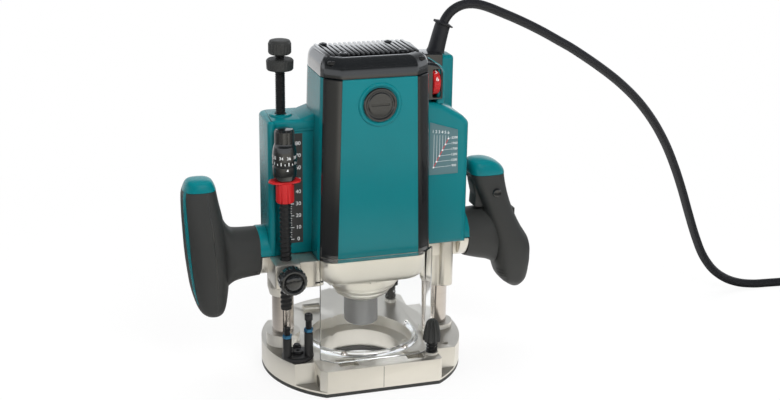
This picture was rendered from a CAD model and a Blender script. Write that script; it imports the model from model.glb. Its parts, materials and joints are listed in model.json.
# %% [markdown]
# A plunge router, dressed for the camera. The CAD frame gives every part its place and says what moves with
# what. This lesson goes round the machine and gives each part the form and the finish that the real one has:
# moulded shells, castings, threads, knurled knobs, a clear shield and a mains lead. All shapes are surfaces
# worked out with numpy in millimetres, in the frame's own axes, and only become metres when they are put into
# a mesh.

# %% Load the frame
import json
import bmesh
import bpy
import numpy as np
from mathutils import Matrix


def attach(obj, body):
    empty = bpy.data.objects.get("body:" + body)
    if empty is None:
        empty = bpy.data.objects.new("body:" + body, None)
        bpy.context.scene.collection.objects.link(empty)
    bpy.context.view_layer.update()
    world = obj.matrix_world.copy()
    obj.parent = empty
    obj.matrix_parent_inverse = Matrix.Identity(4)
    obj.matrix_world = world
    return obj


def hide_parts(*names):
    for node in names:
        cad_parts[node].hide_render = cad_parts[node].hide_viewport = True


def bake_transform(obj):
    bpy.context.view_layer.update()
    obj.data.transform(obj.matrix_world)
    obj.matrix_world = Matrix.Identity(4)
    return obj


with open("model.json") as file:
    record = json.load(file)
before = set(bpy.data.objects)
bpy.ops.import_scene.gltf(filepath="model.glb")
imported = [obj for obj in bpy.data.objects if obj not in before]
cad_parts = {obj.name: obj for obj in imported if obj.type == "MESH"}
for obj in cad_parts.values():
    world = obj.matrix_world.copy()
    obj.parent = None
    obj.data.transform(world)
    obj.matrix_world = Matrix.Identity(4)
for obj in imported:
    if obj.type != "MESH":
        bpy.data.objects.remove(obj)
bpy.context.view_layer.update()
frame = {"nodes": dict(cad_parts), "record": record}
scene = bpy.context.scene
MM = 0.001
NIL = 0.02  # mm: the radius at which a turning closes on its axis, and of a corner that looks sharp
CREASE = 34  # degrees: an edge that bends more than this stays sharp

# %% [markdown]
# A shape here is a pair: an array of points, and a list of faces that name them. Several shapes can share one
# mesh. Keeping shapes as plain arrays until the end means that they can be mirrored, bent and joined with
# arithmetic.

# %% From arrays to a piece
def unit(v):
    """Each vector divided by its own length."""
    return v/np.linalg.norm(v, axis=-1, keepdims=True)


def linked(name, data):
    """A new object in the scene, at the origin."""
    piece = bpy.data.objects.new(name, data)
    scene.collection.objects.link(piece)
    return piece


def smooth(mesh, crease=CREASE):
    """Shades a mesh smooth, apart from its creases."""
    mesh.polygons.foreach_set("use_smooth", np.ones(len(mesh.polygons), bool))
    mesh.set_sharp_from_angle(angle=np.radians(crease))


def make(name, *shapes):
    """Joins shapes into one mesh, closes its seams and turns its faces outwards."""
    starts = np.cumsum([0] + [len(points) for points, faces in shapes])
    points = np.concatenate([points for points, faces in shapes])*MM
    faces = [[int(k + start) for k in face] for (_, some), start in zip(shapes, starts) for face in some]
    mesh = bpy.data.meshes.new(name)
    mesh.from_pydata(points.tolist(), [], faces)
    shell = bmesh.new()
    shell.from_mesh(mesh)
    bmesh.ops.remove_doubles(shell, verts=shell.verts, dist=1e-7)
    bmesh.ops.recalc_face_normals(shell, faces=shell.faces)
    shell.to_mesh(mesh)
    shell.free()
    smooth(mesh)
    return linked(name, mesh)


def moved(shape, by=(0, 0, 0), flip=(1, 1, 1)):
    """The same shape mirrored by the signs in flip, then shifted."""
    return shape[0]*np.array(flip, float) + np.array(by, float), shape[1]


def spun(shape, degrees):
    """The same shape turned about the vertical axis."""
    c, s = np.cos(np.radians(degrees)), np.sin(np.radians(degrees))
    return shape[0] @ np.array([[c, s, 0], [-s, c, 0], [0, 0, 1]]), shape[1]


def stand(points, axis, at):
    """Points with their third coordinate laid along the named axis, from at."""
    order = {"z": [0, 1, 2], "y": [0, 2, 1], "x": [2, 0, 1]}[axis]
    return points[..., order] + np.array(at, float)


def raised(flat, z):
    """Points of a plane, all at the height z."""
    return np.column_stack([flat, np.full(len(flat), z)])


# %% [markdown]
# Most parts are an outline carried along a line, or a profile carried round an axis. Both are a grid of
# rings, so one loft joins them. The outline's corners are arcs, and near each end the outline steps inwards
# along a quarter circle. Those small radii catch the light on a moulding, and a plain prism has none of them.

# %% Lofts, slabs, turnings and tubes
def loft(rings, loop=False):
    """Rings of equal count joined by quads: face (i, k) spans rings i, i+1 and points k, k+1. Ends closed."""
    rings = np.asarray(rings, float)
    m, n = rings.shape[:2]
    i, k = np.arange(m if loop else m - 1)[:, None], np.arange(n)[None, :]
    a, b = i*n + k, i*n + (k + 1) % n
    c, d = (i + 1) % m*n + (k + 1) % n, (i + 1) % m*n + k
    faces = np.stack([a, b, c, d], -1).reshape(-1, 4).tolist()
    if not loop:
        faces += [list(range(n))[::-1], list(range((m - 1)*n, m*n))]
    return rings.reshape(-1, 3), faces


def outline(corners, radii, inset=0.0, steps=6):
    """A polygon whose sides move inwards by inset and whose corners become arcs that touch both sides."""
    c = np.asarray(corners, float)
    before, after = unit(c - np.roll(c, 1, 0)), unit(np.roll(c, -1, 0) - c)
    left0, left1 = before[:, ::-1]*[-1, 1], after[:, ::-1]*[-1, 1]
    into = (left0 + left1)/(1 + (left0*left1).sum(1, keepdims=True))
    turn = np.arctan2(before[:, 0]*after[:, 1] - before[:, 1]*after[:, 0], (before*after).sum(1))
    sign = np.where(turn >= 0, 1.0, -1.0)
    r = np.maximum(np.asarray(radii, float)*np.ones(len(c)) - inset*sign, NIL)
    centre = c + (inset + sign*r)[:, None]*into
    start = np.arctan2(-sign*left0[:, 1], -sign*left0[:, 0])
    a = start[:, None] + turn[:, None]*np.linspace(0, 1, steps + 1)
    arcs = centre[:, None] + r[:, None, None]*np.stack([np.cos(a), np.sin(a)], -1)
    return arcs.reshape(-1, 2)


def slab(corners, radii, low, high, edge=1.0, crown=None, axis="z", at=(0, 0, 0), steps=6, rows=4):
    """An outline carried from low to high, stepping inwards at both ends along quarter circles; a pair of
    corner lists makes it taper from the first to the second."""
    crown = edge if crown is None else crown
    q = np.linspace(0, np.pi/2, rows + 1)
    w = np.concatenate([low + edge*(1 - np.cos(q)), high - crown*(1 - np.sin(q))])
    inset = np.concatenate([edge*(1 - np.sin(q)), crown*(1 - np.cos(q))])
    pair = np.asarray(corners, float)
    first, last = pair if pair.ndim == 3 else (pair, pair)
    share = (w - low)/(high - low)
    flat = [outline(first + (last - first)*s, radii, d, steps) for s, d in zip(share, inset)]
    return loft(stand(np.array([raised(f, h) for f, h in zip(flat, w)]), axis, at))


def oblong(x, y):
    """The corners of an oblong between the given limits."""
    return [(x[0], y[0]), (x[1], y[0]), (x[1], y[1]), (x[0], y[1])]


def box(x, y, z, r=1.5, edge=0.8, axis="z"):
    """A block between the given limits with round corners and edges."""
    flat, along = (oblong(x, y), z) if axis == "z" else (oblong(x, z), y)
    return slab(flat, r, *along, edge, axis=axis)


def softened(points, reach, steps=4, closed=False):
    """A line whose corners become parabolas that leave the sides at most reach from the corner."""
    p = np.asarray(points, float)
    before, after = np.roll(p, 1, 0) - p, np.roll(p, -1, 0) - p
    l0, l1 = np.linalg.norm(before, axis=1), np.linalg.norm(after, axis=1)
    d0 = np.minimum(reach, 0.45*l0)/np.maximum(l0, 1e-9)
    d1 = np.minimum(reach, 0.45*l1)/np.maximum(l1, 1e-9)
    a, b = p + before*d0[:, None], p + after*d1[:, None]
    t = np.linspace(0, 1, steps + 1)[None, :, None]
    curve = (1 - t)**2*a[:, None] + 2*t*(1 - t)*p[:, None] + t**2*b[:, None]
    if closed:
        return curve.reshape(-1, p.shape[1])
    return np.concatenate([p[:1], curve[1:-1].reshape(-1, p.shape[1]), p[-1:]])


def lathe(profile, axis="z", at=(0, 0, 0), n=64, relief=None, loop=False, reach=0.5):
    """A profile of (radius, height) carried round an axis; relief(angle, height) is added to the radius."""
    line = softened(profile, reach, closed=loop) if reach else np.asarray(profile, float)
    r, h = line[:, :1], line[:, 1:]
    a = np.arange(n)[None, :]*2*np.pi/n
    r = r + (relief(a, h) if relief else 0*a)
    rings = np.stack([r*np.cos(a), r*np.sin(a), h + 0*a], -1)
    return loft(stand(rings, axis, at), loop)


def rod(r, low, high, at, axis="z", n=48):
    """A plain round bar."""
    return lathe([(NIL, low), (r, low), (r, high), (NIL, high)], axis, at, n, reach=0)


def smooth_path(points, step=2.0):
    """A Catmull-Rom curve through the points: each span is a cubic set by its ends and their neighbours."""
    p = np.asarray(points, float)
    ends = np.concatenate([2*p[:1] - p[1:2], p, 2*p[-1:] - p[-2:-1]])
    a, b, c, d = ends[:-3], ends[1:-2], ends[2:-1], ends[3:]
    count = max(2, int(np.ceil(np.linalg.norm(c - b, axis=1).max()/step)))
    t = np.arange(count)[None, :, None]/count
    a, b, c, d = a[:, None], b[:, None], c[:, None], d[:, None]
    curve = b + 0.5*t*(c - a + t*(2*a - 5*b + 4*c - d + t*(3*(b - c) + d - a)))
    return np.concatenate([curve.reshape(-1, p.shape[1]), p[-1:]])


def tube(path, radius, n=16):
    """A circle carried along a path; each ring's side is the last one's, laid square to the new tangent."""
    path = np.asarray(path, float)
    ahead = unit(np.gradient(path, axis=0))
    sides = [unit(np.cross(ahead[0], [0.03, 1.0, 0.02]))]
    for t in ahead[1:]:
        sides.append(unit(sides[-1] - t*(sides[-1] @ t)))
    side = np.array(sides)
    other = np.cross(ahead, side)
    a = np.arange(n)*2*np.pi/n
    r = np.asarray(radius, float)*np.ones(len(path))
    around = np.cos(a)[None, :, None]*side[:, None] + np.sin(a)[None, :, None]*other[:, None]
    return loft(path[:, None] + r[:, None, None]*around)


# %% [markdown]
# A hole that a bar really passes through is cut with a Boolean. Each cutter gets a Boolean of its own,
# because cutters that overlap in one mesh can empty the result. Numbers come from Blender's own font. Both
# end as meshes, and a mesh can be read back as a shape, so that cut or lettered shapes can be copied and bent
# like the rest.

# %% Cuts and numbers
def as_shape(mesh, scale=1.0):
    """A mesh's points, divided by scale, and its faces."""
    points = np.empty(3*len(mesh.vertices))
    mesh.vertices.foreach_get("co", points)
    return points.reshape(-1, 3)/scale, [list(face.vertices) for face in mesh.polygons]


def shown_mesh(piece):
    """A new mesh of what an object shows, with its modifiers."""
    return bpy.data.meshes.new_from_object(piece.evaluated_get(bpy.context.evaluated_depsgraph_get()))


def applied(piece, modifier):
    """Keeps what a modifier shows as the piece's mesh."""
    mesh = shown_mesh(piece)
    piece.modifiers.remove(modifier)
    piece.data = mesh


def carve(piece, *cutters):
    """Cuts shapes out of a piece."""
    for shape in cutters:
        knife = make("knife", shape)
        cut = piece.modifiers.new("cut", "BOOLEAN")
        cut.operation, cut.solver, cut.object = "DIFFERENCE", "EXACT", knife
        applied(piece, cut)
        bpy.data.objects.remove(knife)
    smooth(piece.data)
    return piece


def carved(shape, *cutters):
    """A shape with other shapes cut out of it."""
    blank = carve(make("blank", shape), *cutters)
    cut = as_shape(blank.data, MM)
    bpy.data.objects.remove(blank)
    return cut


def digits(text, size):
    """Flat numbers as a shape in the plane, centred on zero."""
    curve = bpy.data.curves.new("digits", "FONT")
    curve.body, curve.size, curve.resolution_u = text, size, 3
    curve.align_x, curve.align_y = "CENTER", "CENTER"
    holder = linked("digits", curve)
    bpy.context.view_layer.update()
    flat = as_shape(shown_mesh(holder))
    bpy.data.objects.remove(holder)
    return flat


# %% [markdown]
# Shader maths is easier to read as an expression than as a list of nodes. This class wraps a socket:
# arithmetic on it adds Math nodes, and one method adds any other node.

# %% Shader expressions
class Wire:
    """A socket of a material's node tree."""

    def __init__(self, tree, socket):
        self.tree, self.socket = tree, socket

    def node(self, kind, settings=None, inputs=None, out=0):
        """Adds a node: first its settings, then the values or links of its sockets; returns one output."""
        made = self.tree.nodes.new("ShaderNode" + kind)
        for key, value in (settings or {}).items():
            setattr(made, key, value)
        for key, value in (inputs or {}).items():
            if isinstance(value, Wire):
                self.tree.links.new(value.socket, made.inputs[key])
            else:
                made.inputs[key].default_value = value
        return Wire(self.tree, made.outputs[out])

    def math(self, operation, a, b=0.0, clamp=False):
        return self.node("Math", {"operation": operation, "use_clamp": clamp}, {0: a, 1: b})

    def __add__(self, other):
        return self.math("ADD", self, other)

    def __sub__(self, other):
        return self.math("SUBTRACT", self, other)

    def __rsub__(self, other):
        return self.math("SUBTRACT", other, self)

    def __mul__(self, other):
        return self.math("MULTIPLY", self, other)

    __radd__, __rmul__ = __add__, __mul__

    def larger(self, other):
        return self.math("MAXIMUM", self, other)

    def ramp(self, start, slope):
        """start + slope*self, held between 0 and 1."""
        return self.math("ADD", self*slope, start, clamp=True)

    def part(self, k):
        """One coordinate of a vector."""
        return self.node("SeparateXYZ", {}, {0: self}, out=k)

    def noise(self, scale, detail=2.0):
        return self.node("TexNoise", {}, {"Vector": self, "Scale": scale, "Detail": detail})

    def stretched(self, scale):
        return self.node("Mapping", {}, {"Vector": self, "Scale": scale})

    def mix(self, low, high):
        """A colour between low and high, by this factor."""
        return self.node("Mix", {"data_type": "RGBA"}, {0: self, 6: low, 7: high}, out=2)

    def into(self, node, key):
        """Links this socket to a node's input."""
        self.tree.links.new(self.socket, node.inputs[key])


def shade(colour, k):
    """A colour times a number, as a socket value."""
    return tuple(min(1.0, c*k) for c in colour) + (1.0,)


FINISHES = {}
GRAIN_DEPTH = 0.0002  # metres


def finish(slot, rough, tint, bump=None, **constants):
    """A material for a slot: constants on the shader's own sockets; colour, roughness and bump from nodes."""
    material = bpy.data.materials.new(slot)
    material.use_nodes = True
    tree = material.node_tree
    shader = tree.nodes["Principled BSDF"]
    for key, value in constants.items():
        shader.inputs[key.replace("_", " ")].default_value = value
    place = Wire(tree, tree.nodes.new("ShaderNodeTexCoord").outputs["Object"])
    tint(place).into(shader, "Base Color")
    rough(place).into(shader, "Roughness")
    if bump:
        heights = {"Strength": 1.0, "Distance": GRAIN_DEPTH, "Height": bump(place)}
        place.node("Bump", {}, heights).into(shader, "Normal")
    FINISHES[slot] = material


# %% [markdown]
# Moulded plastic is one colour with a little drift, and its surface has a fine spark-eroded grain that makes
# the gloss soft. The grain is a noise of about half a millimetre, shallow enough to show only in highlights.

# %% Plastics and rubber
def moulded(slot, colour, rough, grain=0.12, size=2200, **constants):
    """A plastic whose colour drifts by a tenth either way."""
    finish(slot, lambda p: rough + 0.10*(p.noise(60) - 0.5),
           tint=lambda p: p.noise(14, 3).mix(shade(colour, 0.88), shade(colour, 1.10)),
           bump=lambda p: grain*p.noise(size, 3), **constants)


DEEP_BLACK = (0.009, 0.010, 0.011)
moulded("teal_shell", (0.001, 0.150, 0.170), 0.24, 0.08, Specular_IOR_Level=0.32)
moulded("black_plastic", (0.030, 0.031, 0.030), 0.50, 0.16, Specular_IOR_Level=0.42)
moulded("gloss_black", DEEP_BLACK, 0.22, 0.02, 900, Coat_Weight=1.0)
moulded("polished_black", DEEP_BLACK, 0.10, 0.02, 900, Coat_Weight=1.0)
moulded("red_plastic", (0.46, 0.010, 0.012), 0.34, 0.06)
moulded("label_grey", (0.075, 0.150, 0.165), 0.45, 0.05)
moulded("carbon", (0.03, 0.03, 0.032), 0.60, 0.2)
moulded("cord_rubber", (0.012, 0.0125, 0.015), 0.46, 0.2, 1500)
moulded("white_print", (0.82, 0.83, 0.83), 0.5, 0.02)
moulded("red_print", (0.60, 0.02, 0.03), 0.5, 0.02)

# %% [markdown]
# Castings are tumbled and lacquered: a warm silver with a very fine pebble. Ground steel has marks that run
# round the bar, so its noise is stretched until it changes fast along the axis and slowly around it.

# %% Metals
def cast(slot, colour, rough, grain):
    """A metal with a pebbled surface."""
    finish(slot, lambda p: rough + 0.12*(p.noise(90, 4) - 0.5),
           tint=lambda p: p.noise(35, 4).mix(shade(colour, 0.93), shade(colour, 1.05)),
           bump=lambda p: grain*p.noise(1700, 4), Metallic=0.9)


def ground(slot, colour, rough, stretch, depth=0.05, metallic=1.0):
    """A metal with fine marks, drawn out by the stretch."""
    finish(slot, lambda p: rough + 0.16*(p.stretched(stretch).noise(1.0, 3) - 0.5),
           tint=lambda p: p.stretched(stretch).noise(0.6, 3).mix(shade(colour, 0.85), shade(colour, 1.12)),
           bump=lambda p: depth*p.stretched(stretch).noise(1.3, 2), Metallic=metallic)


cast("cast_alloy", (0.78, 0.75, 0.685), 0.33, 0.16)
ground("steel", (0.62, 0.57, 0.53), 0.17, (90, 90, 6000), 0.02)
ground("grey_steel", (0.27, 0.27, 0.272), 0.42, (1400, 1400, 60), 0.10, 0.45)
ground("bronze", (0.50, 0.33, 0.14), 0.38, (300, 300, 4000))
ground("black_steel", (0.028, 0.028, 0.029), 0.38, (500, 500, 500), 0.08, 0.55)
ground("blue_steel", (0.05, 0.17, 0.30), 0.30, (500, 500, 900), 0.05, 0.9)
ground("copper_core", (0.30, 0.13, 0.06), 0.45, (60, 60, 3000))

# %% [markdown]
# The shield is clear polycarbonate. A real sheet with thickness and transmission bends light at its edges,
# and those bright and dark edge lines are all that the eye sees of it. With it every finish is there, so the
# CAD parts get theirs by slot, and a piece that stands for a CAD part will get its own.

# %% Clear plastic, and how a piece is fitted
finish("clear_plastic", lambda p: 0.02 + 0.05*p.noise(40, 3),
       tint=lambda p: p.noise(9).mix((0.97, 0.985, 0.985, 1), (1, 1, 1, 1)), Transmission_Weight=1.0,
       IOR=1.32)
print("finishes:", ", ".join(FINISHES))


def coat(mesh, slot):
    """Gives a mesh one finish."""
    mesh.materials.clear()
    mesh.materials.append(FINISHES[slot])


for part in frame["record"]["subparts"]:
    coat(frame["nodes"][part["node"]].data, part["material_slot"])


def fit(piece, body, slot, *nodes, look=None):
    """Gives a piece its finish, its body and the CAD parts that it stands for."""
    coat(piece.data, look or slot)
    if body:
        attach(piece, body)
    if nodes:
        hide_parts(*nodes)
    print("  ", piece.name, len(piece.data.polygons), "faces")
    return piece


# %% [markdown]
# The camera stands where the photograph was taken from: to the left of the front, looking a little down. Its
# place and turn come from fitting the base's circle, its flat edge, the columns and the housing's corners.

# %% Camera
YAW, PITCH, ROLL = np.radians([-17.53, 18.64, 0.78])
EYE = np.array([-306.96, -1050.19, 510.4])
FOCUS, WIDTH, SENSOR = 1400, 780, 36.0  # focal length and picture width in pixels, sensor in millimetres


def place(piece, axes, at):
    """Turns a camera or a lamp so that its axes are the given ones, and moves it to at."""
    turn = np.eye(4)
    turn[:3, :3] = np.column_stack(axes)
    turn[:3, 3] = at
    piece.matrix_world = Matrix(turn.tolist())


back = np.array([np.sin(YAW)*np.cos(PITCH), -np.cos(YAW)*np.cos(PITCH), np.sin(PITCH)])
level = unit(np.cross([0, 0, 1.0], back))
rise = np.cross(back, level)
lens = bpy.data.cameras.new("camera")
lens.sensor_fit, lens.sensor_width, lens.lens = "HORIZONTAL", SENSOR, FOCUS/WIDTH*SENSOR
lens.clip_start, lens.clip_end = 0.05, 20
scene.camera = linked("camera", lens)
across, above = level*np.cos(ROLL) + rise*np.sin(ROLL), rise*np.cos(ROLL) - level*np.sin(ROLL)
place(scene.camera, [across, above, back], EYE*MM)
print("camera: focal length", round(lens.lens, 1), "mm")

# %% [markdown]
# The mains lead is one fixed length. It leaves its guard, arches over, drops to the floor and runs out of the
# view, where the length that is not seen lies in a neat coil of two layers with the plug beside it. It is a
# tube on a smooth path, so its bends are true and its length can be measured.

# %% Mains lead
LEAD = [
    (79.3, 39.8, 268), (80.4, 40, 272), (83.2, 40.4, 279.2), (87.9, 40.9, 285.3), (94.2, 41.5, 289.5),
    (101.6, 42.2, 291.6), (109.2, 42.8, 291.6), (116.7, 43.3, 290.1), (125, 43.8, 287.2), (134, 44.2, 283.4),
    (153, 45, 275), (172, 45, 265.6), (191, 45, 255), (206, 45, 246.3), (231, 45, 229.7), (251.8, 45, 214),
    (270.8, 45, 196.4), (287.5, 45.5, 176.5), (301.7, 46, 154.7), (313.5, 46.5, 131.5), (323.7, 47, 107.6),
    (333, 47.5, 83.3), (342.7, 48, 59.2), (352.3, 48, 39.4), (364.6, 48, 23.6), (379, 48, 13), (394, 47.5, 7),
    (410, 46.8, 4.3), (426, 45.5, 4), (443, 44, 4), (460, 42.5, 4), (477, 41.5, 4), (494, 41, 4),
    (512, 41, 4), (532, 41, 4), (552, 41, 4),
]
CORD_R = 4.0
COIL_C, COIL_IN, COIL_STEP, COIL_TURNS, COIL_LAYER = (560.0, -19.0), 33.6, 8.8, 3, 8.8
turn = np.linspace(0, 2*COIL_TURNS + 0.25, 300)
angle = np.pi/2 - 2*np.pi*turn
radius = COIL_IN + COIL_STEP*np.abs(turn - COIL_TURNS)
climb = np.clip(2*(turn - COIL_TURNS + 0.25), 0, 1)
coil = np.column_stack([COIL_C[0] + radius*np.cos(angle), COIL_C[1] + radius*np.sin(angle),
                        CORD_R + COIL_LAYER*climb])
PLUG = coil[-1] - [0, 44, 0]
lead = np.concatenate([smooth_path(LEAD, 4), coil, smooth_path([coil[-1], PLUG + [0, 8, 0], PLUG], 4)[1:]])
cord = fit(make("mains_lead", tube(lead, CORD_R, 18)), None, "cord_rubber", "cord_lead", "cord_coil")
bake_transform(cord)

# %% [markdown]
# The plug's body is a moulding that swells from a ribbed neck to a rounded block. An oval is enough for its
# section: a superellipse, whose power says how square it is. The tie that holds the coil is a flat band bent
# round it, and the guard is a tube with a collar near its end, on a path that bends with the lead.

# %% Plug, tie and cord guard
def oval(a, b, power, n=40):
    """Points of |x/a|^p + |y/b|^p = 1, by angle; a, b and p may be columns, one row for each ring."""
    t = np.arange(n)[None, :]*2*np.pi/n
    a, b, power = (np.asarray(v, float).reshape(-1, 1) for v in (a, b, power))
    c, s = np.cos(t), np.sin(t)
    return a*np.sign(c)*np.abs(c)**(2/power), b*np.sign(s)*np.abs(s)**(2/power)


PLUG_ROWS = [  # distance, half width, half height, power
    (-0.4, 4.6, 4.6, 2), (1, 5.6, 5.6, 2), (3, 5.0, 5.0, 2), (4.5, 5.8, 5.8, 2), (6.5, 5.2, 5.2, 2),
    (8.2, 6.2, 6.0, 2), (10, 7.5, 6.6, 2.2), (13, 12.5, 9.6, 2.6), (18, 16.6, 12.0, 3), (27, 17.8, 12.7, 3.2),
    (39, 17.6, 12.6, 3.4), (44, 16.8, 12.0, 3.4), (46, 15.4, 10.8, 3.2),
]
row = smooth_path(PLUG_ROWS, 1.5)
u, v = oval(*row[:, 1:].T)
plug = make("plug", loft(np.stack([PLUG[0] + u, PLUG[1] - row[:, :1] + 0*u, PLUG[2] + v], -1)))
fit(plug, "base", "cord_rubber", "plug_body")
TIE_HALF, TIE_THICK, TIE_TURN = 4, 1.0, 145
loop = oblong((27.5, 68), (0.1, 18))
outer, inner = outline(loop, 5, 0, 8), outline(loop, 5, TIE_THICK, 8)
sides = [(outer, -TIE_HALF), (outer, TIE_HALF), (inner, TIE_HALF), (inner, -TIE_HALF)]
band = loft([np.insert(flat, 1, y, axis=1) for flat, y in sides], loop=True)
tie = make("coil_tie", moved(spun(band, TIE_TURN), (*COIL_C, 0)))
fit(tie, "base", "black_plastic")
GIRTH = [(0, 7.8), (1.5, 7.8), (3.5, 7.2), (10, 6.9), (24.4, 6.5), (24.8, 8.6), (26.2, 8.8), (26.7, 6.6),
         (27.4, 4.6)]
SUNK = 6.2  # the guard's foot is let into the housing by this much
foot = np.array(LEAD[1]) - [5.5, 1.0, 20.0]
path = smooth_path([foot - [1.65, 0.3, 6], foot, *LEAD[1:3]], 0.6)
along = np.append(0, np.cumsum(np.linalg.norm(np.diff(path, axis=0), axis=1))) - SUNK
kept = along < GIRTH[-1][0]
guard = tube(path[kept], np.interp(along[kept], *np.transpose(GIRTH)), 40)
fit(make("cord_sleeve", guard), "motor_unit", "cord_rubber", "cord_guard")

# %% [markdown]
# The motor's shell is a moulding with flat faces, rounded flanks and a slight taper to the top. Its plan is a
# polygon with arcs at the corners, and the taper is the same polygon drawn twice, at the bottom and at the
# top. A block with bevels would do, but the flanks' large radii are what carries the long soft highlight.

# %% Motor shell
def whole(half):
    """A plan from its right half, which runs from front to back; the left front corner comes first."""
    half = np.array(half, float)
    return np.roll(np.concatenate([half, half[::-1]*[-1, 1]]), 1, 0)


JOINT_Z, COVER_Z, ROOF_Z, CAP_Z = 106.6, 256.0, 271.0, 235
SHELL_LOW = whole([(34, -50), (45.5, -40.5), (47.2, -36), (47.4, 8), (43.4, 23), (34.5, 39), (19, 50)])
SHELL_HIGH = whole([(30.5, -50), (42, -40), (43.7, -35.5), (43.9, 6), (40, 20), (32, 36), (18, 50)])
SHELL_R = [1.5, 1.5, 2.5, 7, 40, 40, 2.5, 1.5, 1.5, 2.5, 40, 40, 7, 2.5]
shell = slab([SHELL_LOW, SHELL_HIGH], SHELL_R, JOINT_Z, COVER_Z - 0.3, 0.8, 0.4, rows=3)
rim = lathe([(13.4, 1.0), (14.0, 0.2), (14.8, -0.9), (16.2, -1.2), (17.2, -0.7), (17.9, 0.8), (14, 2)], "y",
            (0, -50, CAP_Z), 72)
shell_piece = make("motor_shell", shell, rim, moved(rim, flip=(1, -1, 1)))
fit(shell_piece, "motor_unit", "teal_shell", "motor_housing")

# %% [markdown]
# Black strips cover the four bevelled corners. Each is a shallow arch in section, carried up the tapering
# corner.

# %% Corner strips
def strip(a_low, b_low, a_high, b_high):
    """Section from a to b: a straight line plus an arch 1 - (2t - 1)^4 outwards, closed 2 mm behind it."""
    t = np.linspace(0, 1, 15)
    z = np.array([JOINT_Z + 0.4, JOINT_Z + 1.0, COVER_Z - 0.9, COVER_Z - 0.3])
    pull = np.array([0.6, 0.0, 0.0, 0.6])
    share = ((z - JOINT_Z)/(COVER_Z - JOINT_Z))[:, None]
    a = np.array(a_low) + share*(np.array(a_high) - a_low)
    b = np.array(b_low) + share*(np.array(b_high) - b_low)
    out = unit(b - a)[:, ::-1]*[1, -1]
    out = out*np.sign((out*a).sum(1, keepdims=True))
    arch = (0.35 + 1.15*(1 - (2*t - 1)**4))[None, :, None] - pull[:, None, None]
    front = a[:, None] + t[None, :, None]*(b - a)[:, None] + arch*out[:, None]
    rear = np.stack([b - 2*out, a - 2*out], 1)
    ring = np.concatenate([front, rear], 1)
    return loft(np.concatenate([ring, 0*ring[..., :1] + z[:, None, None]], -1))


front_strip = strip((-33.6, -50.1), (-45.9, -40.1), (-30.1, -50.1), (-42.4, -39.6))
rear_strip = strip((-18.6, 50.1), (-34.9, 38.6), (-17.6, 50.1), (-32.4, 35.6))
strips = [moved(one, flip=(x, 1, 1)) for x in (1, -1) for one in (front_strip, rear_strip)]
fit(make("corner_covers", *strips), "motor_unit", "gloss_black", "corner_strips")

# %% [markdown]
# The top cover continues the shell's plan and rolls over into the roof. Its roof has a grille: bars that run
# from front to back over a dark well. The rings go up the sides, over the roll, in to the well and down, so
# the cover is one skin, and the bars are separate slabs across it. The hood beside it holds the speed wheel
# in an open slot.

# %% Top cover, grille and hood
def at_angles(plan, angles):
    """A star-shaped outline's points at the given angles, by interpolating its radius."""
    a = np.arctan2(plan[:, 1], plan[:, 0])
    order = np.argsort(a)
    r = np.interp(angles, a[order], np.hypot(*plan[order].T), period=2*np.pi)
    return np.column_stack([r*np.cos(angles), r*np.sin(angles)])


def roof_fall(shape):
    """The roof is level over the grille and falls to the back: heights above the joint shrink with depth."""
    p = shape[0].copy()
    share = np.clip((p[:, 1] - 11)/39, 0, 1)**1.1*0.8
    p[:, 2] = COVER_Z + (p[:, 2] - COVER_Z)*np.where(p[:, 2] > COVER_Z, 1 - share, 1)
    return p, shape[1]


ROLL_R, FOOT = 9.5, 4.7
WELL_C = np.array([0, -10.0])
q = np.linspace(0, np.pi/2, 11)
t = np.linspace(0, 1, 5)[1:-1]
sides = [(COVER_Z, 0.5), (COVER_Z + 0.4, 0.1), (COVER_Z + 0.8, 0.0)]
sides += list(zip(COVER_Z + 0.8 + FOOT*t, 0.5*t**2))
sides += list(zip(ROOF_Z - ROLL_R*(1 - np.sin(q)), 0.5 + (ROLL_R + 2.5)*(1 - np.cos(q))))
plan = outline(SHELL_HIGH, np.maximum(SHELL_R, 4.0), 0, 8)
pinch = np.column_stack([0*plan[:, 0] + 0.56/46, np.where(plan[:, 1] < 0, 1.0, 0.5)/50])
rings = [raised(plan*(1 - d*pinch), z) for z, d in sides]
aim = np.arctan2(rings[-1][:, 1] - WELL_C[1], rings[-1][:, 0] - WELL_C[0])
well = outline(oblong((-38.4, 38.4), (-21.0, 21.0)), 5, 0, 12)
for z, d in ((ROOF_Z, 0.0), (ROOF_Z - 0.5, 0.5), (ROOF_Z - 6, 0.5)):
    rings.append(raised(at_angles(well*(1 - d/30), aim) + WELL_C, z))
cover = roof_fall(loft(rings))
bars = [slab(oblong((x - 1.2, x + 1.2), (ROOF_Z - 5.5, ROOF_Z + 0.8)), [0.3, 0.3, 0.4, 0.4], -31.2, 11.2, 0.3,
             axis="y", steps=3, rows=2) for x in np.linspace(-36, 36, 19)]
cross_bars = [box((-38, 38), (y - 1.4, y + 1.4), (ROOF_Z - 5, ROOF_Z - 0.8), 0.4, 0.4) for y in (-17, -3)]
stud = lathe([(NIL, 269), (3.2, 269), (3.2, 272.0), (2.6, 272.5), (1.4, 272.5), (1.2, 271.6), (NIL, 271.6)],
             n=28, reach=0.3)
studs = [moved(stud, (x, y, 0)) for x, y in ((-24, -28.5), (25, -27), (23, 6), (-30, 9))]
fit(make("top_shell", cover, *cross_bars, *studs), "motor_unit", "gloss_black", "top_cover")
fit(make("grille_bars", *bars), "motor_unit", "gloss_black", look="polished_black")
hood = slab([(42, 230.3), (58.4, 230.3), (58.4, 253.5), (54, 259.5), (42, 262)], [0.5, 1.5, 7, 9, 2],
            -31, -2, 2.2, 1, "y")
bracket = slab([(40, 226), (77, 226), (77, 254.3), (40, 256.2)], [0.5, 0.5, 1.2, 1], 24.5, 45.5, 0.8, 1.2,
               "y")
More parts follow.
